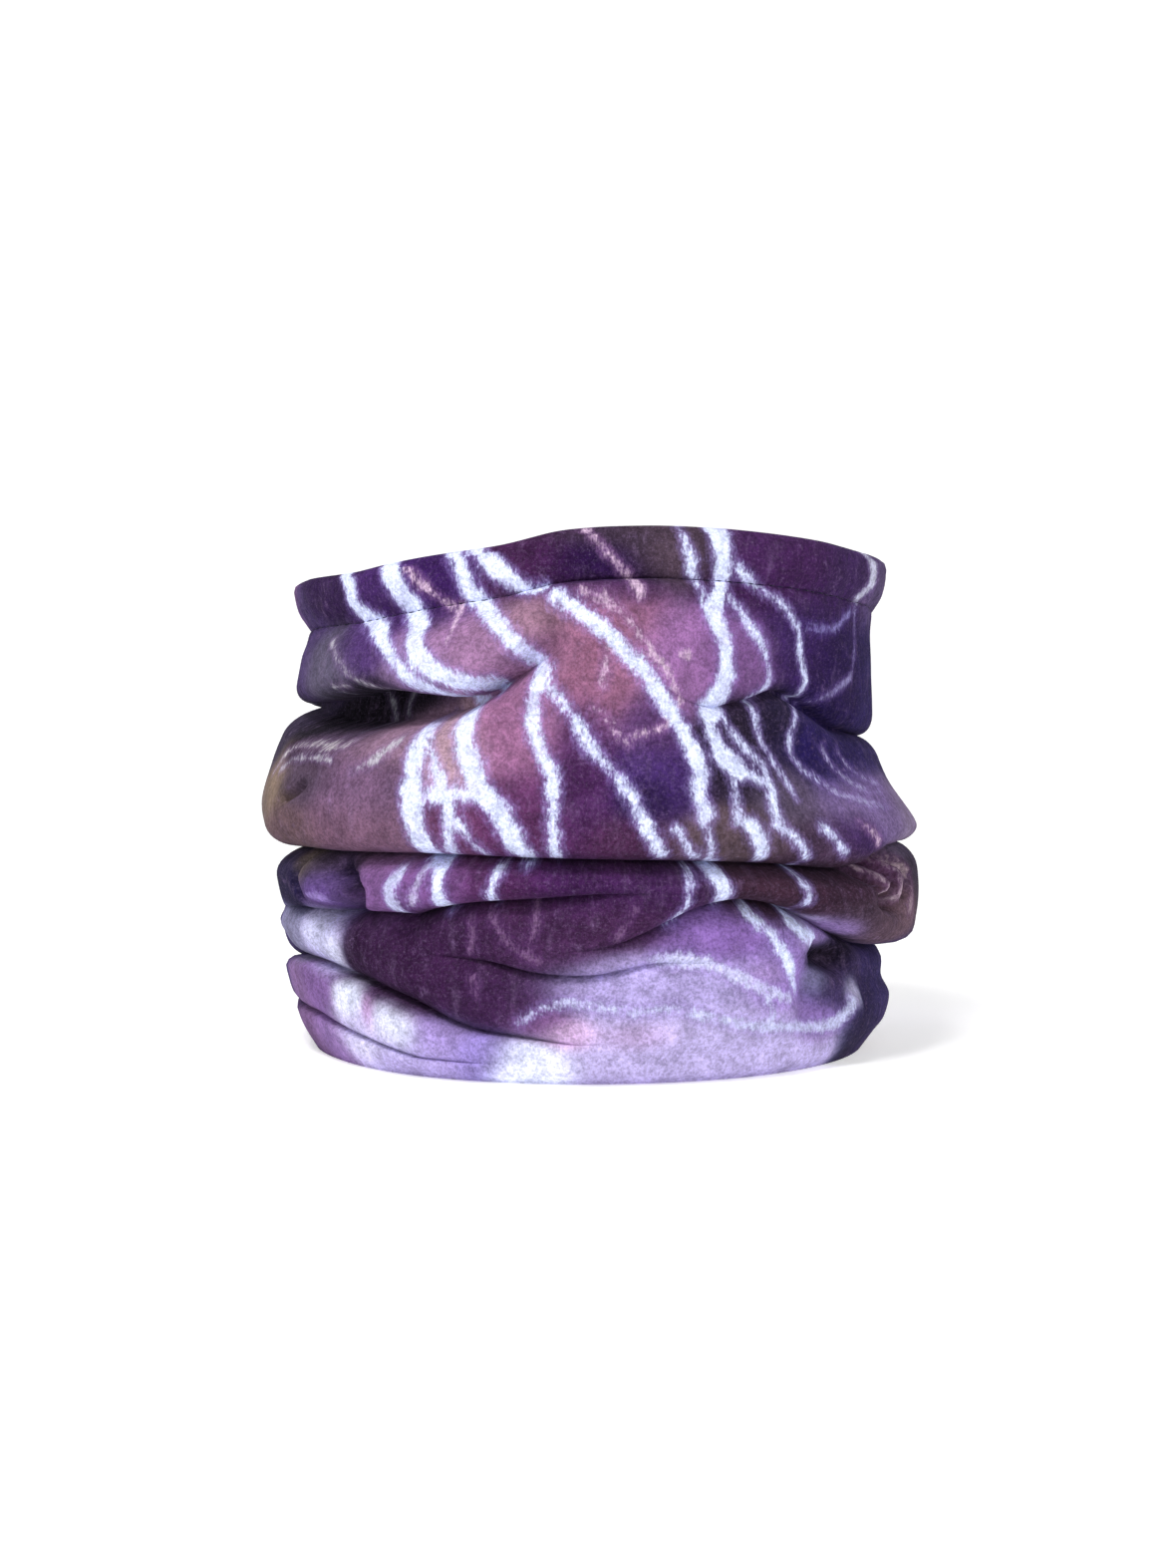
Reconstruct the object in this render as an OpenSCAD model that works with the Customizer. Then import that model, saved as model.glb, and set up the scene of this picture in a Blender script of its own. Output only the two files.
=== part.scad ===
// Fleece neck gaiter, standing upright and bunched into soft folds.
// One tube of printed fleece is closed by an overlocked back seam. Its top hem is turned inwards,
// and its lower hem is tucked under, so the tube stands on a fold.
// Origin: middle of the ring that it stands on. +Z is up, and the front faces -Y.

/* [Tube] */
// Largest radius, at the big upper roll
roll_r = 88; // [84:1:94]
// Standing height at the highest point of the rim
tube_h = 128.5; // [124:0.5:136]
// Thickness of one layer of fleece
fleece_t = 2.6; // [2.2:0.1:2.8]

/* [Sewing] */
// Length of one stitch and the gap after it
stitch_pitch = 3; // [2.5:0.1:3.5]
// Length of thread that shows in each stitch
stitch_l = 2.4; // [2:0.1:2.4]
// Thickness of the sewing thread
thread_d = 0.5; // [0.4:0.05:0.6]
// Height of the top hem, rim to stitching
hem_w = 12.5; // [11:0.5:14]
// Extra thickness of the overlocked allowance along the back seam
seam_t = 2.4; // [2:0.1:2.6]

/* [Care label] */
// Width of the label
label_w = 20; // [15:1:25]
// Length of the label's free part
label_l = 32; // [24:1:36]
// Thickness of one layer of label ribbon
ribbon_t = 0.3; // [0.25:0.05:0.35]

/* [Hidden] */

// The fold lines are drawn for this radius and this height, and scaled to roll_r and tube_h.
drawn_r = 88;
drawn_h = 128.5;
kr = roll_r / drawn_r;
kz = tube_h / drawn_h;

// Azimuth 0 is the front, 90 the right side, 180 the back seam and 270 the left side.
// Each line gives [azimuth, height], [azimuth, radius] or [azimuth, depth] all the way round.
rim_z = [[0, 128], [30, 128.5], [60, 127.5], [90, 126.5], [150, 125], [210, 124], [270, 122],
         [300, 121], [330, 122.5], [345, 124.5], [355, 127.2], [360, 128]];
waist_z = [[0, 93], [20, 86], [35, 91], [55, 82], [90, 81], [180, 88], [270, 91], [315, 84],
           [340, 86], [355, 95], [360, 93]];
waist_r = [[0, 82], [12, 80], [25, 73], [45, 72], [90, 71], [130, 74], [180, 78], [230, 74],
           [270, 73], [315, 66], [335, 69], [350, 79], [360, 82]];
main_z = [[0, 51], [30, 50], [45, 48], [60, 49], [75, 52], [90, 53], [130, 55], [180, 54],
          [230, 52], [270, 52.5], [300, 53], [330, 52], [360, 51]];
main_d = [[0, 13], [90, 11], [140, 13], [180, 15], [220, 13], [270, 10], [315, 13], [360, 13]];
mid_z = [[0, 42], [20, 41], [33, 40], [45, 35], [58, 28.5], [75, 25], [90, 24.5], [120, 26],
         [150, 28], [180, 30], [210, 33], [240, 36], [270, 36], [302, 37], [315, 34.5],
         [330, 38], [345, 41.5], [360, 42]];
mid_d = [[0, 7], [10, 8], [30, 12], [90, 11], [130, 12], [180, 14], [230, 10], [270, 5],
         [290, 5], [305, 10], [330, 13], [350, 10], [360, 7]];
low_z = [[0, 10], [20, 10], [60, 12], [120, 12], [180, 13], [230, 17], [270, 23], [302, 24],
         [316, 22], [330, 18], [345, 12.5], [360, 10]];
low_d = [[0, 3], [20, 1], [60, 3], [120, 6], [180, 4], [230, 8], [270, 10], [300, 10],
         [330, 9], [350, 6], [360, 3]];
rim_r = 80;
hem_r = 76;
above_hem_r = 78;
big_roll_half_h = 9;
mid_roll_r = 87;
low_roll_r = 85;
base_roll_r = 81.5;
// Half the gap between two rolls where they meet, before the crease closes
lip_gap = 0.5;
// The lower hem is tucked under: its edge, its stitching, and the flat ring that touches the ground
tuck_edge = [61, 19];
tuck_line = [60.5, 8];
ground_in_r = 68;
ground_out_r = 76.5;
// The raw edge of the turned top hem lies this far below its stitching
hem_allowance = 2;

// Columns round the tube: every 9 degrees, and closer beside the back seam
seam_half_deg = 3;
columns = concat([for (a = [0:9:171]) a],
                 [180 - 1.5 * seam_half_deg, 180 - seam_half_deg, 180 + seam_half_deg, 180 + 1.5 * seam_half_deg],
                 [for (a = [189:9:351]) a]);

// A roll between two creases: a round nose of radius r, and the crease below it, d0 deep
function roll(r, z0, z1, d0, d1) =
    let (half = (z1 - z0) / 2 - lip_gap)
    concat([[r - d0, z0]],
           [for (t = [-90:30:90]) let (d = min(half, t < 0 ? d0 : d1))
               [r - d * (1 - cos(t)) * 0.95, (z0 + z1) / 2 + half * sin(t)]]);

// The printed face of the cloth at one azimuth, from the tucked hem edge up to the top of the rim
function drawn_face(a) =
    let (rim = lookup(a, rim_z), zl = lookup(a, low_z), zm = lookup(a, mid_z), zc = lookup(a, main_z),
         wz = lookup(a, waist_z), wr = lookup(a, waist_r), dl = lookup(a, low_d), dm = lookup(a, mid_d),
         dc = lookup(a, main_d), hem_z = rim - hem_w / kz)
    concat(
        [tuck_edge, tuck_line, [63, 2.5], [ground_in_r, 0], [ground_out_r, 0],
         [80, 2.5], [base_roll_r, zl * 0.5], [base_roll_r - 0.4 * dl, zl - 0.6 - 0.1 * dl]],
        roll(low_roll_r, zl, zm, dl + low_roll_r - base_roll_r, dm),
        roll(mid_roll_r, zm, zc, dm + mid_roll_r - low_roll_r, dc),
        [[drawn_r - dc, zc]],
        [for (t = [-90:30:0])
            [drawn_r - dc * (1 - cos(t)) * 0.95, zc + lip_gap + big_roll_half_h * (1 + sin(t))]],
        [[drawn_r * 0.9 + wr * 0.1, zc + 15], [drawn_r * 0.6 + wr * 0.4, zc * 0.35 + wz * 0.65 - 4],
         [wr, wz], [(wr + hem_r) / 2, wz * 0.5 + hem_z * 0.5],
         [hem_r, hem_z - hem_allowance - 1.5], [hem_r + 0.4, hem_z - hem_allowance],
         [hem_r + 1, hem_z], [rim_r - 0.8, rim - 7], [rim_r, rim - 3.5],
         [rim_r - 0.7, rim - 1.3], [rim_r - 2.6, rim]]);
face_points = len(drawn_face(0));
rim_cap_points = 2;
hem_line = face_points - 5;
hem_edge = hem_line - 1;
// The back seam's allowance is thick from here to just below the hem
seam_first = 10;
seam_last = hem_edge - 2;
function face(a) = [for (p = drawn_face(a)) [p[0] * kr, p[1] * kz]];

// A point behind knot i of outline p, square to the outline and set back further at a sharp turn
function unit(v) = v / norm(v);
function step(p, i) = let (k = max(0, min(i, len(p) - 2))) unit(p[k + 1] - p[k]);
function behind(p, i, t) =
    let (m = step(p, i - 1) + step(p, i), share = max(norm(m) / 2, 0.7)) p[i] + t / share * [-m[1], m[0]] / norm(m);

// Layers of fleece behind the printed face, and the seam allowance at the back
function layers(i) = i < 2 || i >= hem_edge ? 2 : 1;
function thickness(i, a) =
    layers(i) * fleece_t + (abs(a - 180) <= seam_half_deg && i >= seam_first && i <= seam_last ? seam_t : 0);
function reverse_face(a) = let (p = face(a))
    [for (i = [0:face_points - rim_cap_points - 1]) behind(p, i, thickness(i, a))];

// A point of the [radius, height] plane set at an azimuth
function place(p, a) = [p[0] * sin(a), -p[0] * cos(a), p[1]];

// The closed outline of the cloth at each column, joined to the next column
module shell_fleece() {
    outlines = [for (a = columns) concat(
        [for (p = face(a)) place(p, a)],
        [place([(rim_r - 4.5) * kr, (lookup(a, rim_z) - 1.3) * kz], a)],
        [let (q = reverse_face(a)) for (i = [len(q) - 1:-1:0]) place(q[i], a)])];
    ring = len(outlines[0]);
    count = len(columns);
    faces = [for (c = [0:count - 1], i = [0:ring - 1])
        let (n = (c + 1) % count, j = (i + 1) % ring) each
        [[c * ring + i, c * ring + j, n * ring + j], [c * ring + i, n * ring + j, n * ring + i]]];
    color("mediumpurple") polyhedron([for (o = outlines) each o], faces);
}

// One straight piece of thread from p to q
module rod(p, q) {
    v = q - p;
    translate(p)
        rotate([0, acos(v[2] / norm(v)), atan2(v[1], v[0])])
            cylinder(h = norm(v), d = thread_d, $fn = 24);
}

// A ring of stitches that follows the cloth at knot i; depth is the distance behind the printed face
thread_clear = thread_d / 2 + 0.12;
column_number = [for (c = [0:len(columns)]) [c < len(columns) ? columns[c] : 360, c]];
module stitch_ring(i, depth) {
    line = [for (a = columns) place(behind(face(a), i, depth), a)];
    count = floor(360 / (stitch_pitch / face(0)[i][0] * 180 / PI));
    for (k = [0:count - 1])
        rod(along_ring(line, k / count), along_ring(line, (k + stitch_l / stitch_pitch) / count));
}
function along_ring(line, share) =
    let (u = lookup(share * 360, column_number), c = floor(u), t = u - c, n = len(line))
    line[c % n] * (1 - t) + line[(c + 1) % n] * t;

tuck_stitch_line = 1;
module top_hem_needle_thread() { color("indigo") stitch_ring(hem_line, -thread_clear); }
module top_hem_bobbin_thread() { color("indigo") stitch_ring(hem_line, 2 * fleece_t + thread_clear); }
module bottom_hem_needle_thread() { color("indigo") stitch_ring(tuck_stitch_line, -thread_clear); }
module bottom_hem_bobbin_thread() { color("indigo") stitch_ring(tuck_stitch_line, 2 * fleece_t + thread_clear); }

// Stitches down the inner side of the allowance, in each stretch that no crease pinches.
// They run from share u0 to share u1 of the allowance's width.
function seam_side(a) = let (p = face(a)) [for (i = [0:seam_last])
    place(behind(p, i, fleece_t + seam_t + thread_clear), a)];
function seam_point(i, t, u) =
    let (l = seam_side(180 - seam_half_deg), r = seam_side(180 + seam_half_deg),
         p = l[i] * (1 - t) + l[i + 1] * t, q = r[i] * (1 - t) + r[i + 1] * t)
    p * (1 - u) + q * u;
function turn(i) = let (p = face(180), a = p[i] - p[i - 1], b = p[i + 1] - p[i])
    acos(max(-1, min(1, a * b / norm(a) / norm(b))));
sharp_turn = 50;
module seam_stitches(u0, u1) {
    for (i = [seam_first + 1:seam_last - 1])
        if (turn(i) < sharp_turn && turn(i + 1) < sharp_turn) {
            length = norm(seam_point(i, 1, u0) - seam_point(i, 0, u0));
            count = round(length / stitch_pitch);
            if (count > 0)
                for (k = [0:count - 1])
                    rod(seam_point(i, (k + 0.1) / count, u0), seam_point(i, (k + 0.85) / count, u1));
        }
}
module back_seam_left_needle_thread() { color("rebeccapurple") seam_stitches(0.12, 0.12); }
module back_seam_right_needle_thread() { color("rebeccapurple") seam_stitches(0.32, 0.32); }
module back_seam_upper_looper_thread() { color("plum") seam_stitches(0.45, 0.75); }
module back_seam_lower_looper_thread() { color("thistle") seam_stitches(0.9, 0.9); }

// The label is one ribbon folded in half. Its two ends are caught in the top hem, in front of the back
// seam's allowance, and the rest hangs free.
label_top = (lookup(180, rim_z) * kz - hem_w - hem_allowance - 2.5);
label_y = hem_r * kr - fleece_t - seam_t - 1.2;
loop_t = 3 * ribbon_t;
module care_label() {
    color("white")
        translate([-label_w / 2, label_y, label_top])
            rotate([90, 0, 90])
                linear_extrude(label_w)
                    difference() {
                        translate([-loop_t / 2, -label_l]) square([loop_t, label_l]);
                        translate([-ribbon_t / 2, -label_l + ribbon_t]) square([ribbon_t, label_l]);
                    }
}

shell_fleece();
top_hem_needle_thread();
top_hem_bobbin_thread();
bottom_hem_needle_thread();
bottom_hem_bobbin_thread();
back_seam_left_needle_thread();
back_seam_right_needle_thread();
back_seam_upper_looper_thread();
back_seam_lower_looper_thread();
care_label();
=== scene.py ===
"""Looks of a bunched fleece neck gaiter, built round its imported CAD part.

The cloth is one closed mesh: a grid of columns round the tube and rows along the cloth. Each row follows
a level of the bunched cloth, such as a crease, a roll's belly or the rim. Creases are pressed into that
grid, and the marbled print is drawn in the cloth's own coordinates: millimetres round the tube from the
front, and height.
"""

import bpy
import numpy as np
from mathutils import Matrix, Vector, noise


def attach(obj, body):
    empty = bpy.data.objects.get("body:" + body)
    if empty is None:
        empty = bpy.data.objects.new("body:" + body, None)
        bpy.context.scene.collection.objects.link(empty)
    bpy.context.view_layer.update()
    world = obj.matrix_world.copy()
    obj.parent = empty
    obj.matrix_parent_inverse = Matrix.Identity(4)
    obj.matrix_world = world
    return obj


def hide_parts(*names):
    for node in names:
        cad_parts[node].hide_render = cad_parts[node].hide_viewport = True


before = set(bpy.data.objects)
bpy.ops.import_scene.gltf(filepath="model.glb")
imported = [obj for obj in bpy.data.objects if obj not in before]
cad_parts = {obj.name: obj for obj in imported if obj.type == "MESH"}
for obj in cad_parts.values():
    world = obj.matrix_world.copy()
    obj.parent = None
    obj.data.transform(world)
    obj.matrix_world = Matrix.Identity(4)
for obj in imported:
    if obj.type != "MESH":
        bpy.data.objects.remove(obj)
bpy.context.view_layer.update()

MM = 0.001
FLEECE_T = 2.6
HEM_W = 12.5
MM_PER_DEGREE = 1.45
SEED = 7


# ---- curves round the tube

def column_angles():
    """Degrees from the front, positive to the right. Columns are closest at the front and the back seam."""
    front = np.arange(-80, 80, 0.75)
    back_right = np.arange(80, 172, 1.5)
    seam = np.arange(172, 188, 0.75)
    back_left = np.arange(188, 280, 1.5)
    all_round = np.concatenate([front, back_right, seam, back_left])
    all_round = np.where(all_round >= 180, all_round - 360, all_round)
    return np.sort(all_round)


ANGLE = column_angles()
COLUMNS = len(ANGLE)


def around(points, soften=2.0):
    """The value at every column of a line through (degrees, value) points, rounded off at its corners."""
    at = np.array([p[0] for p in points], float)
    value = np.array([p[1] for p in points], float)
    order = np.argsort(at)
    at, value = at[order], value[order]
    fine = np.arange(-180, 180, 0.5)
    line = np.interp(fine, np.r_[at[-1] - 360, at, at[0] + 360], np.r_[value[-1], value, value[0]])
    reach = np.arange(-20, 20.5, 0.5)
    weight = np.exp(-0.5 * (reach / soften) ** 2)
    pad = len(reach) // 2
    line = np.convolve(np.r_[line[-pad:], line, line[:pad]], weight / weight.sum(), mode="valid")
    return np.interp(ANGLE, np.r_[fine, 180], np.r_[line, line[0]])


# ---- levels of the bunched cloth

# (degrees, height) and (degrees, radius) points of the rim, and the radius at its hem stitching.
RIM_Z = [(-90, 122), (-68, 121.4), (-46, 120.6), (-34, 121.9), (-24, 123.1), (-15, 124.2), (-10, 125.6),
         (-5, 127.2), (2, 128), (11, 128.5), (24, 128.5), (39, 128), (58, 127.3), (80, 126.5), (120, 125.5),
         (160, 125), (-160, 124.5), (-120, 123)]
RIM_R = [(-90, 78), (-60, 78.5), (-30, 79), (0, 80), (45, 80.5), (90, 80.5), (180, 79)]
HEM_R = [(-90, 74.2), (-60, 75.5), (-35, 77.5), (-15, 80.5), (0, 82.5), (15, 81), (35, 79), (60, 77.5),
         (90, 76), (180, 75.5), (-130, 75)]
# The lower edge is tucked under and stands up inside the tube: (radius, height) from its end down to the
# foot, then back up behind it to the end.
TUCK = [(61, 19), (60.6, 15), (60.5, 11), (60.6, 7.5), (61.4, 4.5), (63.2, 2), (66, 0.5), (69, 0)]
TUCK_BACK = [(69, 2.8), (67.3, 3.4), (66.3, 5.2), (66, 8), (66, 11.5), (66.1, 15.2), (66.1, 18.2)]
TUCK_END = [(65.4, 19.3), (63.4, 19.8), (61.6, 19.7)]
# Each level runs round the tube. z is its height and r its radius before creasing. A crease also has a
# depth, the height over which its upper and lower lips curve in, lean, the rise per depth inwards, and
# where it gapes, half the height of its floor.
LEVELS = [
    dict(name="foot",
         z=[(0, 2.2), (45, 3), (60, 5), (90, 6), (180, 3), (-150, 5), (-90, 7), (-60, 6), (-30, 3)],
         r=[(0, 80.5), (30, 80), (50, 78.5), (70, 77.5), (90, 77.5), (180, 79), (-90, 77), (-60, 77),
            (-30, 80)]),
    dict(name="band",
         z=[(-90, 12.5), (-62, 12.2), (-55, 11.2), (-48, 9.6), (-42, 8.4), (-35, 6.6), (-28, 5), (-20, 4.6),
            (0, 5), (60, 8), (90, 9), (180, 7), (-130, 9)],
         r=[(0, 81.5), (60, 80), (90, 79), (180, 81), (-90, 79), (-60, 79.5), (-30, 81.5)],
         depth=[(-110, 0), (-90, 3), (-62, 4), (-45, 4), (-35, 3.4), (-25, 2.4), (-19, 1), (-15, 0),
            (180, 0)],
         above=3.5, below=2.6, lean=-0.2),
    dict(name="lower_left",
         z=[(-120, 17), (-90, 23), (-75, 26), (-58, 26), (-50.6, 24.5), (-44, 23.2), (-40.5, 22),
            (-36, 20.5), (-30, 18.3), (-24, 14.6), (-19.6, 12.9), (-15, 12.1), (-11, 11.6), (-6, 10.7),
            (-2, 9.8), (5, 10), (40, 13), (60, 14), (90, 14), (120, 12), (180, 13)],
         r=[(0, 82.5), (30, 83), (60, 81), (90, 80), (180, 82), (-90, 82), (-60, 82.5), (-30, 83)],
         depth=[(-180, 5), (-130, 8), (-90, 8), (-58, 9), (-45, 9), (-35, 9), (-25, 8), (-15, 6.5),
            (-8, 4.5), (-4, 3), (-1, 1), (2, 0), (85, 0), (120, 6)],
         above=8, below=4.2, lean=-0.15),
    dict(name="middle_fold",
         z=[(-150, 23), (-90, 30), (-60, 31), (-40, 30), (-24, 29.2), (-18, 28), (-14, 27), (-11, 25.4),
            (-6, 24.3), (1, 24.2), (4, 25.2), (8, 26.8), (12, 28), (25, 28), (40, 24), (60, 20), (90, 18.5),
            (150, 19)],
         r=[(0, 84.5), (30, 83), (60, 80), (90, 79), (180, 84), (-90, 82), (-60, 82.5), (-30, 83.5)],
         depth=[(-26, 0), (-20, 2.5), (-14, 5), (-6, 6), (2, 5.5), (8, 3.5), (13, 1.5), (18, 0.6), (24, 0)],
         above=4.5, below=7, lean=0.25),
    dict(name="right_fold",
         z=[(-150, 29), (-90, 33), (-60, 33.5), (-30, 34), (-10, 30.5), (3, 31.2), (8.5, 33.4), (13, 36.2),
            (17, 38.6), (22, 40), (27, 40), (34, 38), (45, 32.6), (58, 26.6), (68, 25.5), (90, 24.8),
            (120, 26), (150, 28)],
         r=[(0, 85), (20, 86), (45, 86), (60, 84.5), (90, 85.5), (180, 86), (-90, 83), (-60, 83),
            (-30, 84)],
         depth=[(-5, 0), (2, 1.5), (6, 4), (12, 7), (20, 10), (30, 12), (45, 12), (60, 12), (90, 14),
            (130, 13), (175, 11), (-165, 5), (-150, 0)],
         above=7, below=11, lean=0.3),
    dict(name="left_fold",
         z=[(-150, 35), (-120, 37), (-90, 37), (-62, 37.5), (-52, 36), (-47, 33.4), (-43, 31.6), (-38, 32),
            (-34, 33.8), (-29, 36.8), (-23, 38.8), (-15, 40.2), (-8, 41), (3, 43.2), (12, 44.3), (27, 45.6),
            (45, 41), (60, 37), (90, 36), (150, 38), (180, 37)],
         r=[(0, 86), (30, 87), (60, 88), (90, 88), (180, 87), (-90, 81.5), (-60, 83), (-30, 85.5)],
         depth=[(170, 0), (-170, 4), (-140, 9), (-115, 7), (-95, 1), (-75, 0.5), (-64, 3), (-52, 8),
            (-45, 12), (-34, 12.5), (-20, 11), (-8, 8.5), (0, 5.5), (6, 2), (10, 0)],
         above=6.5, below=7, lean=0.3),
    dict(name="main_fold",
         z=[(-150, 51), (-90, 51), (-60, 51.4), (-49, 50.8), (-37, 50.8), (-26, 50.8), (-18, 50.5),
            (-4, 49.8), (18, 49.3), (30, 48.6), (37, 47.8), (46, 46.6), (52, 47.6), (62, 51.5), (72, 53),
            (90, 53), (130, 55), (180, 54)],
         r=[(0, 87.5), (90, 87.5), (180, 87.5), (-60, 86), (-90, 83.5)],
         depth=[(0, 13), (60, 11), (75, 6), (90, 6), (110, 12), (180, 14), (-120, 13), (-90, 10),
            (-60, 11)],
         above=7.5, below=6, lean=0.22),
    dict(name="belly",
         z=[(-90, 64), (-60, 63), (-20, 61), (20, 60), (60, 58.5), (90, 59), (180, 63)],
         r=[(0, 88), (45, 87.5), (90, 88.3), (180, 88), (-90, 87.2), (-45, 88)]),
    dict(name="cowl",
         z=[(-90, 76), (-60, 74), (-40, 75), (-20, 76), (0, 78), (20, 73), (45, 72), (90, 71), (180, 76)],
         r=[(-90, 84), (-60, 84), (-40, 85.5), (-20, 86), (-5, 87), (10, 86.5), (25, 83.5), (45, 81),
            (65, 80), (90, 79.5), (140, 81), (180, 83), (-130, 82)]),
    dict(name="waist_fold",
         z=[(-120, 88), (-90, 89), (-72, 87), (-63, 85.6), (-57, 85), (-50, 84.7), (-45, 84.7), (-38, 85),
            (-30, 84.8), (-22, 85.2), (-18, 87), (-13.5, 91.3), (-8, 95.6), (-4.5, 101), (1, 101), (8, 94),
            (15, 88), (21, 86), (30, 88), (36, 90.5), (45, 87), (55, 82), (70, 81), (90, 81), (140, 84),
            (180, 88)],
         r=[(-90, 79.5), (-60, 80.5), (-40, 83.5), (-20, 85.5), (-5, 86.5), (8, 85), (20, 81), (36, 78.5),
            (55, 77), (90, 76.5), (140, 79), (180, 80), (-130, 79)],
         depth=[(-130, 4), (-90, 7), (-70, 10), (-57, 15), (-46, 19), (-35, 20), (-25, 18), (-18, 12),
            (-13, 6), (-9, 2), (-6, 0), (12, 0), (20, 2), (30, 4.5), (38, 5.5), (50, 6), (60, 6), (90, 5.5),
            (120, 6), (150, 2), (180, 1)],
         floor=[(-90, 0.5), (-75, 1.2), (-66, 2.2), (-60, 3), (-55, 3.6), (-50, 4), (-44, 4.4), (-37, 3.8),
            (-30, 2.7), (-23, 1.6), (-16, 0.6), (-8, 0), (20, 0), (34, 0.5), (45, 1.2), (56, 0.6), (70, 0)],
         above=7, below=5.2, lean=0.2),
    dict(name="bulge",
         z=[(-90, 101), (-60, 102), (-30, 103), (-12, 104.5), (-4, 107), (5, 107), (15, 103), (40, 102),
            (60, 100), (90, 100), (180, 102)],
         r=[(-90, 76.8), (-60, 78.5), (-40, 81), (-20, 84), (-6, 86), (4, 86), (14, 83.5), (28, 80.5),
            (45, 78.5), (60, 77), (90, 75.5), (130, 76), (180, 77), (-130, 76)]),
]


def limit_levels(levels, rim, gap=2.4):
    """Heights of every level round the tube, kept in order and at least gap apart."""
    z = np.array([around(level["z"]) for level in levels])
    for k in range(1, len(z)):
        z[k] = np.maximum(z[k], z[k - 1] + gap)
    z[-1] = np.minimum(z[-1], rim - HEM_W - 2 * gap)
    return z


def lip(share, power=2.2):
    """1 in a crease's bottom, 0 from its lip outwards, and as round as a lip of cloth in between."""
    share = np.clip(np.abs(share), 0, 1)
    return 1 - (1 - (1 - share) ** power) ** (1 / power)


def rows_between(count, close_at_start, close_at_end):
    """Shares of the way from one level to the next, closer together beside a crease."""
    f = np.arange(count) / count
    if close_at_start and close_at_end:
        return (1 - np.cos(np.pi * f)) / 2
    if close_at_start:
        return 1 - np.cos(np.pi * f / 2)
    if close_at_end:
        return np.sin(np.pi * f / 2)
    return f


def outer_wall():
    """Height before leaning, radius before creasing, and crease relief and rise, as rows by columns."""
    rim = around(RIM_Z)
    hem = rim - HEM_W
    heights = limit_levels(LEVELS, rim)
    radii = np.array([around(level["r"], 4) for level in LEVELS])
    hem_r, rim_r = around(HEM_R, 4), around(RIM_R, 4)
    z = np.vstack([np.zeros(COLUMNS), heights, hem, hem + 5, rim - 2.2])
    r = np.vstack([radii[0] - 4, radii, hem_r, (hem_r + rim_r) / 2 + 0.8, rim_r])
    creases = [False] + ["depth" in level for level in LEVELS] + [True, False, False]
    z = np.vstack([2 * z[0] - z[1], z, 2 * z[-1] - z[-2]])
    r = np.vstack([2 * r[0] - r[1], r, r[-1]])
    row_z, row_r = [], []
    for k in range(len(z) - 3):
        z0, z1, z2, z3 = z[k:k + 4]
        r0, r1, r2, r3 = r[k:k + 4]
        span = z2 - z1
        crowding = 1.6 if creases[k] or creases[k + 1] else 1
        count = max(4, int(round(np.mean(span) * crowding / 1.15)))
        slope_1 = (r2 - r0) / (z2 - z0) * span
        slope_2 = (r3 - r1) / (z3 - z1) * span
        for f in rows_between(count, creases[k], creases[k + 1]):
            row_z.append(z1 + span * f)
            row_r.append((2 * f ** 3 - 3 * f ** 2 + 1) * r1 + (f ** 3 - 2 * f ** 2 + f) * slope_1
                         + (3 * f ** 2 - 2 * f ** 3) * r2 + (f ** 3 - f ** 2) * slope_2)
    row_z, row_r = np.array(row_z + [z[-2]]), np.array(row_r + [r[-2]])
    relief, rise = np.zeros_like(row_z), np.zeros_like(row_z)
    for level, line in zip(LEVELS, heights):
        if "depth" in level:
            off = row_z - line
            beyond = np.maximum(np.abs(off) - around(level.get("floor", [(0, 0)]), 1.5), 0)
            press = around(level["depth"]) * lip(beyond / np.where(off > 0, level["above"], level["below"]))
            relief += press
            rise += press * level["lean"]
    off = row_z - hem
    crest = around([(-14, 0), (-6, 1.8), (4, 2.8), (12, 2.2), (20, 0)])
    relief += 0.9 * lip(off / 2.2) + 0.5 * crest * lip(off / 3) - crest * np.exp(-((off + 3.6) / 2.4) ** 2)
    rise += 0.55 * crest * np.exp(-((off + 2.4) / 1.5) ** 2)
    return row_z, row_r, relief, rise, hem, rim


# ---- dents, swells and seams off the levels

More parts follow.
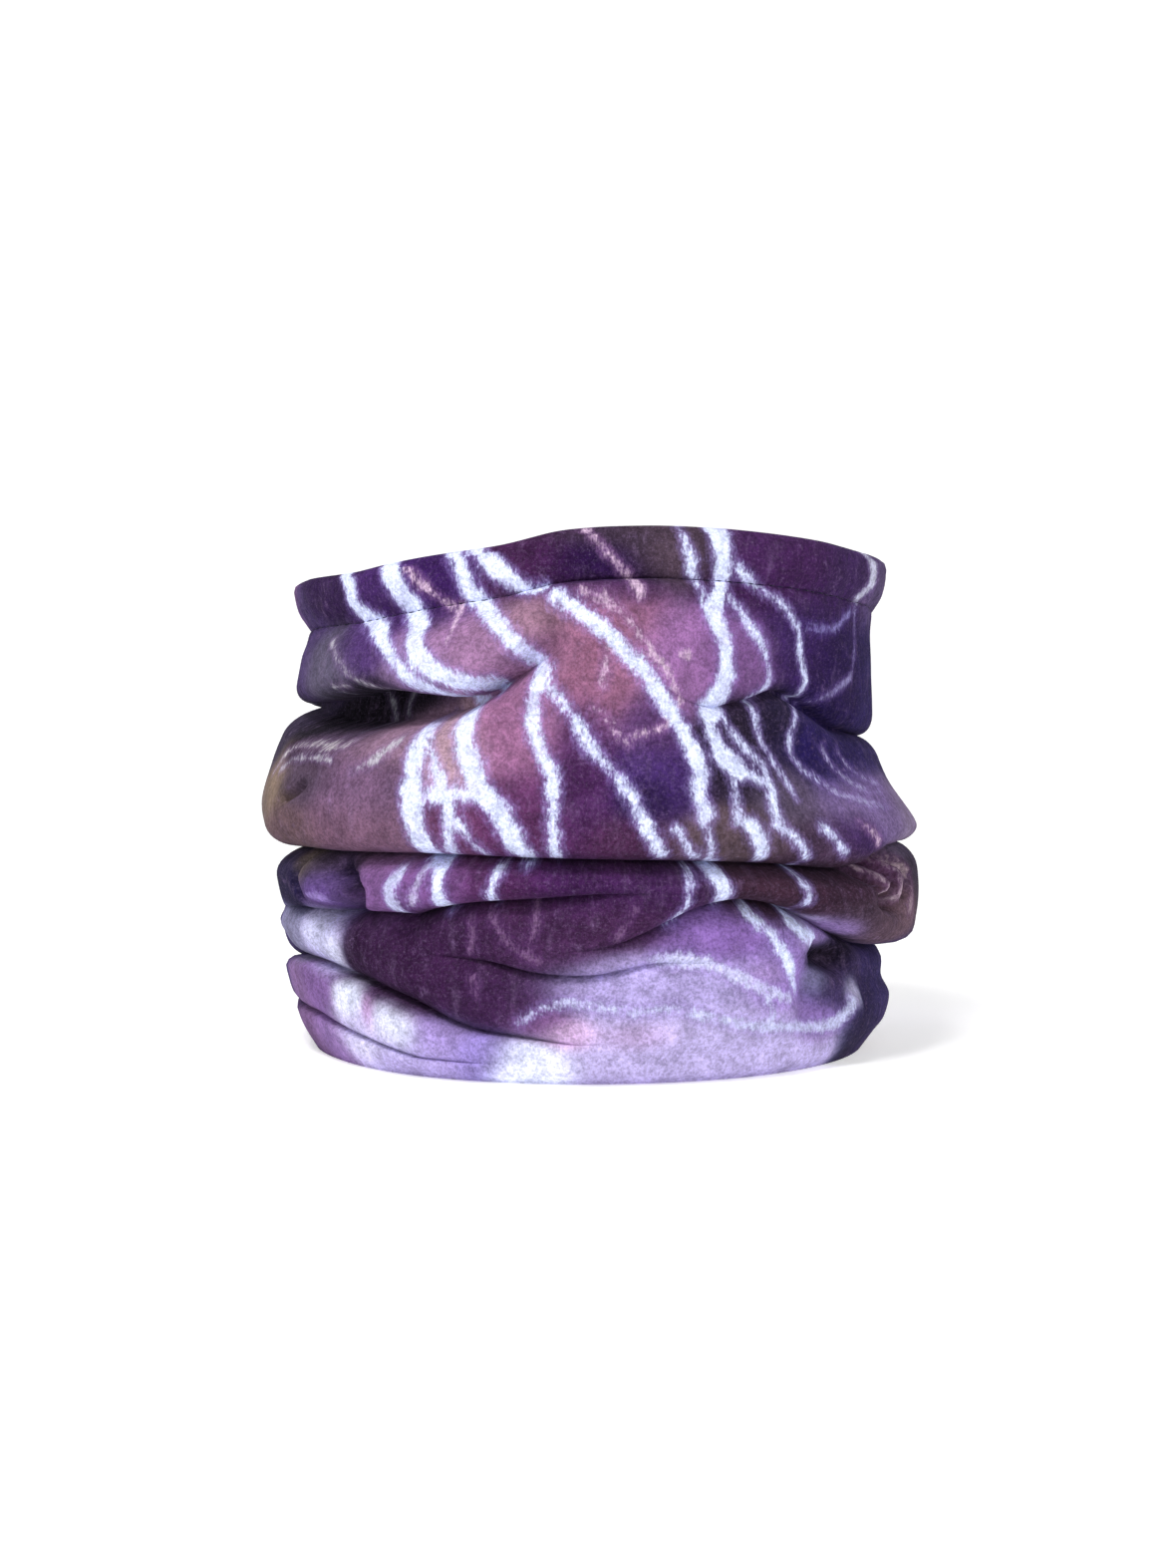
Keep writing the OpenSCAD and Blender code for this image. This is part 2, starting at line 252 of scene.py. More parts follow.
# Dents that follow a short path of (degrees, height) points: the path, its depth and its half-width.
# A negative depth is a swell.
DENTS = [
    ([(-19, 88), (-13, 92.5), (-8.5, 96.5), (-5.5, 101), (-4.5, 106)], 6, 4.2),
    ([(-3, 100), (-1, 105), (-2, 110)], -1.2, 4),
    ([(40.6, 27), (39.6, 22.5), (39, 17.5), (39.3, 11)], 2.4, 4.2),
    ([(41, 28.2), (46, 27), (52, 25)], 9, 3.3),
    ([(-50, 49), (-45.2, 47.6), (-41.4, 45.2), (-40, 42.8), (-41.2, 40.4), (-45, 38.4), (-50, 37.4),
      (-55, 37.6)], 8.5, 2.3),
    ([(-52.5, 44.4), (-46.8, 43)], -2.6, 6),
    ([(-34, 47), (-31, 43), (-33, 40)], -1.5, 4),
    ([(-57, 51), (-59, 46), (-57, 40.5)], 5, 2),
    ([(49, 47), (52.5, 46), (55, 43.8), (54.4, 41)], 4.5, 1.7),
    ([(53, 50.4), (58, 48.6), (60.4, 45.4), (58.8, 41.6)], 6, 1.9),
    ([(58, 52.4), (64.4, 49.8), (66.6, 45.4), (64, 40.4)], 6, 2),
    ([(55, 40.4), (61.5, 39)], 9, 2.3),
    ([(-61, 64.4), (-57, 66.3), (-52, 69)], 3.6, 1.5),
    ([(-8, 112), (-14, 109.5), (-22, 107), (-32, 104.5)], 1.6, 4),
    ([(-30, 98), (-18, 97), (-9, 99)], -1.8, 8),
    ([(-2, 107), (6, 102), (12, 94), (17, 86)], -2.2, 6),
    ([(-15, 84), (-9, 90), (-5, 96)], -1.6, 4),
    ([(30, 97), (42, 99), (52, 96)], 1.6, 7),
    ([(26, 82), (34, 78), (44, 76)], 2.2, 6),
    ([(3, 34), (-12, 33), (-28, 30), (-44, 30)], 1.6, 6),
    ([(-2, 17), (14, 16), (30, 15)], -1.6, 9),
    ([(50, 14), (56, 12)], -2, 8),
    ([(0, 70), (8, 64), (14, 58)], -0.8, 7),
    ([(-46, 66), (-30, 64), (-10, 66)], -0.8, 7),
    ([(95, 96), (110, 88), (120, 74)], 3, 8),
    ([(150, 104), (162, 92), (168, 78)], 2.5, 8),
    ([(-165, 100), (-150, 88), (-142, 74)], 3, 8),
    ([(-112, 100), (-122, 90), (-128, 78)], 2.5, 7),
    ([(-100, 47), (-106, 44), (-112, 41)], 2.5, 4),
    ([(104, 44), (112, 41), (124, 40)], 2.5, 4),
    ([(150, 20), (165, 21), (178, 19)], 2, 4),
]


def distance_to(path, at, height):
    """Millimetres from each point of the wall to a path, and the nearest point's share of its length."""
    best = np.full(height.shape, 1e9)
    share = np.zeros_like(best)
    points = [np.array([p[0] * MM_PER_DEGREE, p[1]]) for p in path]
    lengths = [np.linalg.norm(b - a) for a, b in zip(points, points[1:])]
    done = 0
    for a, b, length in zip(points, points[1:], lengths):
        along = ((at - a[0]) * (b[0] - a[0]) + (height - a[1]) * (b[1] - a[1])) / length ** 2
        t = np.clip(along, 0, 1)
        d = np.hypot(at - a[0] - t * (b[0] - a[0]), height - a[1] - t * (b[1] - a[1]))
        near = d < best
        best = np.where(near, d, best)
        share = np.where(near, (done + t * length) / sum(lengths), share)
        done += length
    return best, share


def dents(row_z):
    """Relief of all the dents and swells."""
    at = np.broadcast_to(ANGLE * MM_PER_DEGREE, row_z.shape)
    relief = np.zeros_like(row_z)
    for path, depth, width in DENTS:
        d, share = distance_to(path, at, row_z)
        fade = np.clip(np.minimum(share, 1 - share) * 5, 0, 1)
        relief += depth * (0.25 + 0.75 * fade) * np.exp(-(d / width) ** 2 * 1.6)
    return relief


def soft_noise(points, size):
    """Smooth noise from -1 to 1 at each point of an array of positions in millimetres."""
    flat = points.reshape(-1, 3) / size
    values = np.array([noise.noise(Vector(p), noise_basis="PERLIN_ORIGINAL") for p in flat])
    return values.reshape(points.shape[:-1])


def on_tube(radius, height):
    """Positions, in millimetres, of radii and heights given for every column."""
    turn = np.radians(np.broadcast_to(ANGLE, radius.shape))
    return np.stack([radius * np.sin(turn), -radius * np.cos(turn), height], axis=-1)


def ring(radius, height):
    """A level ring of points, one per column. Its radius may vary round it."""
    return on_tube(np.broadcast_to(radius, COLUMNS), np.broadcast_to(height, COLUMNS))


def unit(vectors):
    """Vectors scaled to a length of 1."""
    return vectors / np.linalg.norm(vectors, axis=-1, keepdims=True)


def grid_normals(points):
    """Outward unit normals of a grid of rows by columns that closes round the tube."""
    across = np.roll(points, -1, axis=1) - np.roll(points, 1, axis=1)
    return unit(np.cross(across, np.gradient(points, axis=0)))


# ---- the cloth as one closed grid

def build_cloth_grid():
    """Rows of the closed cloth in millimetres, each point's height in the print, and the main rows."""
    row_z, row_r, relief, rise, hem, rim = outer_wall()
    relief = relief + dents(row_z)
    seam_gap = 1.5 * np.exp(-((np.abs(ANGLE) - 180) * MM_PER_DEGREE / 1.6) ** 2)
    relief = relief + seam_gap
    base = on_tube(row_r, row_z)
    up_share = np.clip((row_z - 3) / 10, 0, 1)
    relief = relief - up_share * (1.1 * soft_noise(base, 31) + 0.7 * soft_noise(base + 200, 15))
    pucker = np.exp(-((row_z - hem) / 4.5) ** 2) * np.sin(ANGLE * MM_PER_DEGREE / 7 * 2 * np.pi
                                                        + 2 * soft_noise(base, 18))
    wall = on_tube(row_r - relief - 0.28 * pucker, row_z + rise)

    foot = row_r[0] - relief[0]
    inner = TUCK[-1][0]
    under = [ring(r, z) for r, z in TUCK] + [ring(inner + (foot - inner) * f, 0.0) for f in (0.35, 0.7)]
    printed = np.vstack([under, wall])
    normal = grid_normals(printed)

    # The rim is the fold of the top hem, round over two layers of cloth.
    top = printed[-1] - normal[-1] * FLEECE_T
    level_in = unit(normal[-1] * [1, 1, 0])
    rise_up = rim - top[:, 2]
    fold = []
    for turn in np.radians([30, 60, 90, 120, 150, 180]):
        bend = top + level_in * FLEECE_T * np.cos(turn)
        bend[:, 2] += rise_up * np.sin(turn)
        fold.append(bend)
    hem_row = len(under) + int(np.argmin(np.abs(row_z - hem).mean(axis=1)))
    flap_rows = list(range(len(printed) - 3, hem_row - 3, -1))
    flap = [printed[i] - normal[i] * 2 * FLEECE_T for i in flap_rows]
    for k in range(3):
        flap[k] = flap[k] * (k + 1) / 4 + (fold[-1] - [0, 0, 1.2 * (k + 1)]) * (3 - k) / 4
    flap = np.array(flap)
    flap += normal[flap_rows] * 0.25 * soft_noise(flap, 9)[..., None]
    raw_edge = [flap[-1] + normal[flap_rows[-1]] * FLEECE_T * s - [0, 0, 0.6 * s] for s in (0.35, 0.8)]

    # The reverse stays behind everything the printed face does within a few millimetres of height, so it
    # bridges the narrow creases. Along the back seam the overlocked allowance stands out.
    wall_r, wall_z = np.hypot(wall[..., 0], wall[..., 1]), wall[..., 2]
    top_z, low_z = raw_edge[-1][:, 2] - 1.5, np.full(COLUMNS, FLEECE_T + 0.4)
    steps = 46
    back_z = np.array([top_z + (low_z - top_z) * k / (steps - 1) for k in range(steps)])
    back_r = np.array([np.where(np.abs(wall_z - z) < 3.4, wall_r, 200).min(axis=0) for z in back_z])
    for _ in range(2):
        back_r[1:-1] = back_r[1:-1] * 0.5 + (back_r[:-2] + back_r[2:]) * 0.25
        back_r = back_r * 0.5 + (np.roll(back_r, 1, axis=1) + np.roll(back_r, -1, axis=1)) * 0.25
    back_r = back_r - FLEECE_T
    allowance = 2.4 * np.clip((3.4 - np.abs(np.abs(ANGLE) - 180)) / 0.9, 0, 1)
    back_r -= allowance * np.clip((back_z - 21) / 3, 0, 1) * np.clip((top_z - back_z) / 5, 0, 1)
    behind_tuck = np.clip((24 - back_z) / 5, 0, 1)
    back_r = np.maximum(back_r, 67.2 * behind_tuck)
    reverse = on_tube(back_r, back_z)
    reverse = np.concatenate([reverse, [ring(r, z) for r, z in TUCK_BACK]])
    tuck_end = [ring(r, z) for r, z in TUCK_END]

    rows = np.vstack([printed, fold, flap, raw_edge, reverse, tuck_end])
    reverse_end = len(rows) - len(tuck_end)
    marks = dict(face=len(printed) + len(fold) + len(flap), hem=hem_row, tuck_hem=3,
                 flap_hem=len(printed) + len(fold) + flap_rows.index(hem_row), tuck_hem_back=reverse_end - 4,
                 reverse=slice(reverse_end - len(reverse), reverse_end))
    print_z = np.vstack([[np.full(COLUMNS, -30 + 2.5 * i) for i in range(len(under))], row_z,
                         [rim + 1.4 * k for k in range(1, len(fold) + 1)],
                         [rim + 9 + (rim - 3 - printed[i][:, 2]) for i in flap_rows]])
    return rows, print_z, marks


def add(name, data):
    """A new object of the scene."""
    made = bpy.data.objects.new(name, data)
    bpy.context.scene.collection.objects.link(made)
    return made


def mesh_object(name, points, faces):
    """A smooth-shaded object in metres."""
    mesh = bpy.data.meshes.new(name)
    mesh.from_pydata([tuple(p) for p in points], [], faces)
    mesh.update()
    mesh.shade_smooth()
    return add(name, mesh)


def ring_faces(rings, sides):
    """Quads between successive rings of points."""
    quads = []
    for low in range(0, (rings - 1) * sides, sides):
        for j in range(sides):
            k = (j + 1) % sides
            quads.append((low + j, low + k, low + sides + k, low + sides + j))
    return quads


# ---- the marbled print

WHITE, PINK, GREY, MAUVE = (0.66, 0.72, 0.98), (0.60, 0.44, 0.58), (0.42, 0.40, 0.46), (0.17, 0.09, 0.19)
SHADOW, DUSK, LILAC, BROWN = (0.17, 0.17, 0.2), (0.4, 0.38, 0.6), (0.5, 0.52, 0.74), (0.40, 0.30, 0.36)
# Veins of the print: width in millimetres at the start and at the end, and the (degrees, height) path.
WHITE_VEINS = [
    (5.4, 2.6, [(-50, 127), (-49, 121), (-47, 117), (-46.5, 112.5), (-42.5, 108.5), (-38, 105.5),
        (-35.5, 101.5), (-33, 97.7), (-30, 93.5), (-26, 90.5), (-21, 86.5)]),
    (6.8, 3.8, [(-36.5, 128), (-36, 121.5), (-35.5, 117.5), (-34, 114), (-31.5, 109.7), (-29.5, 106),
        (-29, 102), (-27, 98), (-24, 94.5), (-20.5, 92.3), (-17, 91.3), (-15, 91)]),
    (4.4, 3.4, [(-24, 129), (-22.8, 122), (-21.5, 118), (-20.3, 113.8), (-18.3, 111), (-14.4, 105.7),
        (-12.3, 102.5), (-10, 99.3), (-6.5, 95)]),
    (4.6, 3, [(-21, 130), (-18, 122.5), (-16, 119.5), (-13.6, 117), (-11.2, 114.2), (-8.9, 112.7),
        (-7, 112.7)]),
    (4.6, 5.4, [(-26.6, 80), (-27.2, 76.5), (-27.8, 72.8), (-27.5, 67.5), (-26.8, 60), (-26, 55),
        (-26, 52)]),
    (5, 4.4, [(-18.9, 84.5), (-19.3, 80.2), (-18.5, 75), (-17, 70), (-15.3, 66), (-13.2, 63), (-11.5, 57.8),
        (-10, 53), (-9.3, 52)]),
    (1.8, 2.8, [(-25.8, 79.5), (-24.4, 74.5), (-22.8, 70), (-21.6, 65.5)]),
    (3.6, 3, [(-23.5, 66), (-20.5, 67), (-16.5, 66)]),
    (3, 2.4, [(-20.8, 66), (-21, 60), (-21.3, 55.5), (-21.5, 53)]),
    (1.6, 1.4, [(-19.3, 60.5), (-17, 55), (-15.8, 52.5)]),
    (3.3, 2, [(-7.3, 94.5), (-7.7, 89.7), (-8.3, 86), (-8, 80.2), (-6.7, 75), (-5.5, 71.3), (-5, 66),
        (-5, 60), (-5, 55), (-5, 52)]),
    (2.2, 2, [(-7.3, 94), (-5.3, 89.7), (-3.4, 86), (-1.2, 82), (0.3, 77.8), (2.5, 73.5), (6.2, 66.5),
        (7, 63.5), (8.8, 58.8), (11.1, 52.5)]),
    (1.4, 2, [(15, 134), (15.5, 127.5), (16.3, 123), (17.2, 118.3), (18.4, 114), (19.6, 110),
        (20.3, 107.5)]),
    (5.8, 4.6, [(22, 135), (22.2, 128), (22.7, 123), (22.7, 117)]),
    (4.2, 3.8, [(22.7, 118.5), (22.3, 113.5), (21.3, 110), (21.5, 106.5), (22.5, 102.5)]),
    (3.8, 5.8, [(22.5, 102.5), (23.3, 98.7), (23.6, 94.5), (23, 91), (21.5, 87.5), (20, 85)]),
    (1.7, 0.8, [(25.8, 119), (28.3, 116.5), (31.7, 114), (35, 111.5), (37.6, 109), (39.7, 105.5),
        (40.9, 101.5), (42.4, 97.3), (43, 94), (42, 89.5), (40, 86.8), (38.5, 83.5), (37.6, 79.5),
        (38, 75.7), (39.7, 72), (42.5, 69.5)]),
    (1.7, 1.2, [(24, 112.5), (26, 110), (27.5, 106.7), (29.6, 103.5), (31.5, 100), (33, 97), (33.4, 93.8),
        (33, 91.3), (31.3, 90)]),
    (0.9, 0.8, [(31.3, 90), (29.5, 88.5), (29.7, 85), (30.7, 81), (31.8, 77), (32.8, 73.3), (34.2, 69),
        (35.3, 65.5)]),
    (3, 3.8, [(-5, 111), (-2, 108.5), (0.3, 105.8), (3.4, 102), (6, 98), (8.8, 93.6), (10.6, 90),
        (12.7, 86), (14.5, 82), (15.7, 78.3), (17, 74.7), (17.5, 71.3), (16.7, 67), (17.6, 62)]),
    (2.2, 3.8, [(19.3, 86), (20.2, 81.5), (21.2, 77.5), (22.8, 73.5)]),
    (5.4, 4.4, [(22, 75), (24.6, 71.6)]),
    (2.6, 2, [(24.5, 72), (27.2, 70.4), (30, 69.4)]),
    (2, 1.5, [(23.4, 72), (23, 67.5), (23.3, 63.5), (23, 60.5)]),
    (0.9, 2.3, [(22.9, 85), (24.5, 80.6), (27.3, 77), (29.6, 73.3), (30.4, 68.3), (30.1, 63), (30.5, 60)]),
    (1.2, 1.2, [(17.3, 60), (18.3, 56.5), (18.8, 51.5)]),
    (1.3, 1.3, [(13, 59), (14.5, 55.3), (16.3, 52)]),
    (3.3, 3.3, [(25, 59.5), (26.8, 55.2), (27.7, 51.5)]),
    (2, 2, [(30, 59.5), (32.8, 57.3), (34.8, 54), (36, 51.7)]),
    (1.4, 1.4, [(39, 58.8), (41.3, 56.7), (43.3, 53)]),
    (3, 3.4, [(-24.2, 49.8), (-23.6, 45), (-23.8, 40.6)]),
    (1.7, 1.7, [(-14, 49), (-14.8, 45), (-15.2, 41.8)]),
    (1.5, 0.8, [(15.8, 48.5), (15.5, 44.8), (15.2, 41), (13.7, 37.5), (12.2, 36)]),
    (3.3, 4.8, [(19.7, 49), (21, 45.5), (21.3, 41.5)]),
    (2, 2, [(35.3, 48.5), (36, 44.5), (36.3, 41)]),
    (2.5, 2.5, [(26.7, 38), (30, 34.5), (32.7, 30), (35.3, 25.3), (36.7, 20.5)]),
    (2.7, 2.7, [(35.5, 36), (38.5, 32.5), (42, 30.5)]),
]
# The others also have a tint. Those tinted SHADOW are veins darkened with painted shade in the pocket under
# the bulge, and one lavender stroke on the ball is a painted highlight.
TINTED_VEINS_AND_PAINTED_LIGHT = [
    (1.2, 1, PINK, [(-33, 120), (-29.5, 116), (-25.8, 112), (-24, 110.5)]),
    (1.5, 1.2, PINK, [(-22, 110), (-22, 101.5)]),
    (0.9, 0.8, GREY, [(-53, 104), (-49, 98.5), (-44, 94.3), (-39.5, 91), (-34, 89), (-30, 88)]),
    (1, 1, GREY, [(-52, 92.5), (-47, 92.5)]),
    (0.9, 0.7, SHADOW, [(-53, 94), (-51, 89), (-48, 84.5), (-46.5, 80.5)]),
    (0.9, 0.7, SHADOW, [(-43, 93), (-41.5, 88), (-43.5, 84), (-42, 80.5)]),
    (0.5, 0.3, (0.62, 0.6, 0.6), [(-74, 72), (-67, 76), (-60, 78.6), (-52, 78.4), (-46, 77.6),
        (-43, 78.2)]),
    (0.4, 0.3, GREY, [(-66, 72.5), (-58, 75.5), (-50, 75.4), (-46, 74.6)]),
    (0.9, 0.9, GREY, [(-31, 79), (-35.5, 74.5), (-40, 72)]),
    (1.2, 1.2, PINK, [(-0.5, 131), (0.6, 126.5), (1.8, 124), (3.7, 120.8), (5.6, 117.5), (7.3, 113.5),
        (8, 111.5)]),
    (1.2, 1.2, PINK, [(-1, 112), (2, 110.5), (5.3, 107.3), (7.6, 103), (9.5, 99), (11.7, 95.2),
        (13.3, 91.5), (14.9, 87.7)]),
    (0.8, 0.8, PINK, [(6.8, 80), (9.8, 81), (12.6, 82.5)]),
    (0.8, 0.8, PINK, [(0.5, 86.3), (2.5, 84.3), (4, 81), (6.2, 77.8)]),
    (0.8, 0.8, PINK, [(2.9, 100.5), (2.2, 91)]),
    (2, 2, PINK, [(15, 98.8), (15.8, 98.6)]),
    (0.5, 0.9, (0.2, 0.17, 0.4), [(40, 107.6), (45.5, 106.3), (50.5, 107)]),
    (1.2, 0.6, (0.26, 0.23, 0.5), [(50.5, 107), (53.5, 108.6), (58, 112)]),
    (0.8, 0.6, DUSK, [(42.5, 69.5), (46, 66.6), (52, 64.6), (60, 63.6)]),
    (0.6, 0.5, DUSK, [(46.2, 77), (46.8, 74), (49.6, 70.6), (54, 68.2), (61, 66.6)]),
    (0.6, 0.5, DUSK, [(51.4, 76.6), (51.8, 74.8), (53.6, 72.4), (57.5, 70.3), (63, 69.3)]),
    (3.4, 3, (0.5, 0.5, 0.64), [(60, 130), (64, 123), (63.5, 118.5), (60.5, 115.5)]),
    (0.9, 0.7, (0.3, 0.27, 0.5), [(60.3, 115), (60.2, 109), (59.4, 102), (58.2, 96), (54, 92.8), (48.5, 90),
        (44, 87)]),
    (0.9, 0.9, PINK, [(47.5, 60), (50.3, 57.8), (52.8, 55)]),
    (2.6, 3.6, LILAC, [(-31.2, 48), (-31.8, 44), (-31.6, 39.5)]),
    (1.6, 2, (0.46, 0.42, 0.62), [(-26.8, 49.5), (-27.4, 46), (-28.4, 41.5)]),
    # Painted highlight: the next stroke, lavender, lightens the lower middle of the ball at the roll's left
    # end.
    (2.5, 2.5, (0.27, 0.19, 0.46), [(-52, 42), (-48, 41.5)]),
    (1, 0.9, MAUVE, [(-19, 37.5), (-18.4, 34), (-18.9, 30.5)]),
    (1.3, 1.6, MAUVE, [(-15.5, 38.5), (-13.2, 34), (-10.8, 31), (-7.5, 28.6)]),
    (0.9, 1.1, MAUVE, [(-8.4, 40.5), (-7.9, 36.5), (-9.3, 33), (-8.8, 30)]),
    (1.2, 1, MAUVE, [(-18.6, 25), (-17.8, 20.5)]),
    (0.8, 0.8, MAUVE, [(7.2, 41), (5.6, 37), (4.2, 33)]),
    (2.6, 2.6, (0.52, 0.52, 0.76), [(9.8, 28.7), (14, 28.7), (18.3, 28.3), (22.3, 26.2), (26.7, 23.3),
        (31, 20.7), (34.7, 18.7)]),
    (0.8, 3, LILAC, [(-11.5, 14.5), (-7, 18.5), (-4, 19.5), (0, 19), (7, 17.8), (13, 18), (17, 16.7),
        (21.8, 15), (26.9, 13.5), (32, 12.7), (37.2, 12), (43, 10.7), (48.5, 11.7), (52, 16)]),
    (1.2, 1.2, LILAC, [(31, 15), (29.5, 19)]),
    (1.2, 0.9, BROWN, [(54.5, 50.8), (59.3, 49.6), (62.2, 47.6), (63.4, 43.6), (61.2, 40.4)]),
    (1.1, 0.9, BROWN, [(50.6, 48.6), (54.6, 47.4), (57.6, 44.8), (57, 41.8)]),
    (0.8, 0.8, (0.34, 0.25, 0.29), [(64, 50.6), (67.6, 47), (68.2, 42.6), (66, 37)]),
]

# Ground colours of the print and a few of painted shade, as soft patches: degrees, height, half-width in
# degrees, half-height, colour.
GROUND_AND_PAINTED_SHADE = [
    (-56, 117, 9, 6, "3a1c4e"), (-41, 114, 6, 7, "4a2765"), (-26, 115, 6, 8, "452063"),
    (-10, 120, 7, 8, "4e2350"), (1, 118, 7, 7, "32104e"), (4, 126, 9, 3, "4a3745"),
    (14, 123, 7, 6, "55404c"), (36, 119, 12, 8, "4d2458"), (54, 118, 9, 8, "45265a"),
    (75, 117, 12, 8, "5d4a6c"), (-44, 102, 6, 5, "54346e"), (-55, 98, 8, 7, "5e5468"),
    (-72, 104, 10, 10, "4f3a68"), (-17, 100, 10, 7, "8c6688"), (-9, 106, 5, 4, "8c6878"),
    (1, 99, 7, 12, "8c5a74"), (-28, 96, 5, 5, "7c6188"), (15, 96, 6, 8, "8a5e8e"), (26, 98, 7, 7, "7a5286"),
    (42, 104, 9, 9, "3f225e"), (55, 97, 7, 12, "301a52"), (75, 98, 12, 14, "30205c"),
    (26, 79, 7, 9, "2f2238"), (36, 83, 4, 6, "302640"), (48, 79, 12, 9, "2a1b5c"),
    (-37, 68, 9, 12, "72526e"), (-38, 58, 10, 6, "765264"), (-54, 71, 7, 6, "584354"),
    (-69, 68, 8, 7, "806a58"), (-80, 62, 8, 6, "786860"), (-60, 58, 9, 5, "6c5054"),
    (-21, 77, 4, 8, "a68894"), (-12, 81, 7, 9, "8c5c7e"), (-33, 78, 8, 4, "8a6a7c"),
    (-10, 61, 5, 9, "64325e"), (-1, 72, 4, 13, "53285a"), (-21, 58, 4, 7, "6e3a60"),
    (6, 55, 6, 5, "572a50"), (10, 70, 5, 8, "4a2c6a"), (9, 66, 4, 4, "2c1648"), (10, 82, 4, 6, "5e3a6a"),
    (22, 56, 10, 5, "604a50"), (39, 55, 7, 5, "4f364e"), (47, 57, 5, 4, "4a2864"), (34, 66, 5, 6, "5a4a5e"),
    (54, 64, 12, 6, "705a84"), (73, 60, 8, 6, "7c6a84"), (-36, 43, 5, 6, "7c5488"),
    (-24, 45, 5, 5, "754a80"), (-14, 44, 6, 5, "5d2b5a"), (-3, 45, 8, 5, "4e2258"),
    (10, 45, 8, 5, "4a2454"), (42, 44, 16, 6, "482a3c"), (30, 45, 5, 5, "4c2c3c"), (62, 38, 8, 6, "6c5058"),
    (60, 47, 3, 4, "5a3450"), (80, 44, 10, 8, "463848"), (-49, 43, 6, 5.5, "5c4376"),
    # Painted shade: the first two patches on the next line, near black, darken the groove where the roll's
    # end overlaps the ball.
    (-42, 46, 1.6, 3.5, "150b20"), (-46, 48.5, 2, 1.6, "1c1228"), (-52, 49, 4, 2.5, "4a3a48"),
    (-64, 44, 4, 6, "292148"), (-56, 49, 3, 3, "6a5a50"), (-28, 27, 15, 11, "46204a"),
    (-8, 34, 9, 8, "502a52"), (6, 37, 6, 5, "502950"), (-14, 20, 8, 6, "4a2450"), (-8, 15, 4, 3, "7a5080"),
    (20, 33, 7, 4, "785896"), (12, 23, 14, 5, "9e92c2"), (20, 8, 18, 7, "aea3ce"),
    (8, 11.5, 5, 2.5, "b49cc6"), (30, 24.5, 4, 2.5, "a48cc0"), (33, 24, 6, 6, "8a70b0"),
    (45, 32.4, 5, 3.6, "8d74ac"), (56, 36, 6, 4, "5a4250"), (49, 38.5, 6, 3, "503a48"),
    (40.6, 33, 2.2, 2.4, "aaa4c4"), (-3, 12, 3.5, 2.5, "c6a6cc"), (42, 13, 5, 4, "8568a8"),
    (42.6, 22, 2.6, 3, "74708e"), (49, 20, 7, 5.5, "45345e"), (45, 19, 4, 4, "4a3a66"),
    (58, 10, 6, 6, "2b2048"), (75, 14, 12, 12, "3a2c62"), (-57, 17, 6, 6, "7a588e"),
    (-42, 10, 8, 5, "bcb4da"), (-30, 6, 8, 4, "a296c4"), (-18, 7, 5, 4, "8676b8"), (-56, 7, 7, 4, "84669a"),
    (-53, 30, 4.5, 5, "a8a4cc"), (-43.6, 27.6, 2, 3.4, "351838"), (-82, 24, 8, 12, "4a3a6e"),
    (-68, 18, 7, 5, "80608c"), (-66, 31, 5, 4.5, "7c7894"), (-68, 7, 8, 5, "785680"),
    # Painted shade: the second and third patches on the next line, near black, fill the pocket under the
    # upper bulge.
    (-80, 84, 9, 8, "3c3048"), (-46, 86, 10, 5.5, "120f18"), (-60, 84, 6, 3, "14101a"),
    # Painted shade: the last patch on the next line and the first on the line after, near black, fill the
    # deep crease at the lower right.
    (-60, 77, 6, 2, "3a2228"), (-50, 76, 4, 2.5, "4a2c3c"), (46, 27.2, 5.5, 2.6, "06050a"),
    (50, 25.4, 3, 2, "0a0812"), (-54, 31.5, 3, 3.2, "cfd0ec"), (-50, 28.5, 2.6, 2.8, "dadcf4"),
    (-41, 28, 4, 5, "3c1a40"), (-46.4, 16.6, 2.6, 3.4, "d8dcf4"), (-44, 17.8, 2.4, 3, "d8dcf4"),
    (-39.8, 14.4, 1.5, 3.4, "b088ba"), (-36, 12.8, 2.6, 3.4, "dce0f8"), (-32.6, 10.6, 3, 3.6, "dce0f8"),
    (-25.5, 9.4, 4.6, 4.6, "9a86c2"), (-10, 4.6, 5.2, 4.6, "d2d6f0"), (-43, 6, 3.5, 2, "cfcbe8"),
    (53, 18, 2, 2.5, "c8c6e6"),
]
HIDDEN_PATCHES = ["46244a", "4b2146", "5c3a70", "7c5a86", "8a6390", "33204f", "6a4c50", "9078c0", "8b5f7e",
                  "40265c"]


def linear(code):
    """A colour written as six hex digits, in linear light."""
    value = np.array([int(code[i:i + 2], 16) / 255 for i in (0, 2, 4)])
    return np.where(value <= 0.04045, value / 12.92, ((value + 0.055) / 1.055) ** 2.4)


def hidden_veins(rng):
    """Veins of the sides and the back that continue the print with the same kinds of line."""
    found = []
    for k in range(46):
        a = 86 + 188 * (k + rng.uniform(0.1, 0.9)) / 46
        z = rng.uniform(118, 128) if k % 2 else rng.uniform(45, 100)
        drift = rng.uniform(-0.5, 0.5)
        path = []
        for step in range(int(rng.integers(10, 24))):
            path.append((a if a < 180 else a - 360, z))
            a += drift * 3 + rng.uniform(-1.6, 1.6)
            drift = np.clip(drift + rng.uniform(-0.45, 0.45), -1, 1)
            z -= rng.uniform(2.5, 5)
            if abs(a - 180) < 1.5 or a < 84 or a > 276:
                break
        if len(path) > 2 and min(abs(p[0]) for p in path) > 83 and np.ptp([p[0] for p in path]) < 90:
            wide = rng.choice([0.9, 1.4, 2.2, 3.4])
            found.append((wide, wide * rng.uniform(0.6, 1.2), WHITE if rng.random() < 0.7 else PINK, path))
    return found


